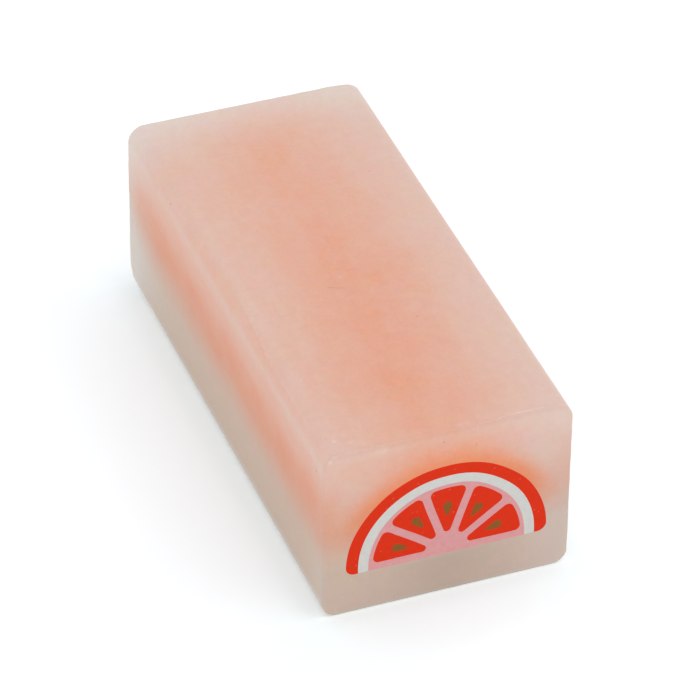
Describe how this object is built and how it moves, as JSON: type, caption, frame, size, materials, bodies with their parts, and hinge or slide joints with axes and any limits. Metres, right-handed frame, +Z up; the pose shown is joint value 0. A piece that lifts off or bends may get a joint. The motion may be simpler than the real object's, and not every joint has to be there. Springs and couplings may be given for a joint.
{
  "type": "rubber eraser",
  "caption": "Soft translucent rectangular block eraser with a fruit-slice picture of coloured strands extruded through its whole length.",
  "frame": {"origin": "centre of the flat underside that the block rests on", "axes": "+Z up out of the top, +Y along the length from the front cut end to the rear one, +X to the right as the front end is seen"},
  "size_m": [0.022, 0.05, 0.017],
  "materials": {
    "clear_rubber": "translucent milky pink rubber, satin skin with fine scuffs",
    "red_rubber": "opaque orange red rubber, matt where it is cut",
    "white_rubber": "opaque white rubber, matt where it is cut",
    "pink_rubber": "pale lilac pink rubber, matt where it is cut",
    "brown_rubber": "ochre brown rubber, matt where it is cut"
  },
  "bodies": {
    "root": {"clear_block": "clear_rubber", "peel_strand": "red_rubber", "pith_strand": "white_rubber", "membrane_strand": "pink_rubber", "segment_strand_1": "red_rubber", "segment_strand_2": "red_rubber", "segment_strand_3": "red_rubber", "segment_strand_4": "red_rubber", "segment_strand_5": "red_rubber", "pip_strand_1": "brown_rubber", "pip_strand_2": "brown_rubber", "pip_strand_3": "brown_rubber", "pip_strand_4": "brown_rubber", "pip_strand_5": "brown_rubber"}
  },
  "joints": []
}
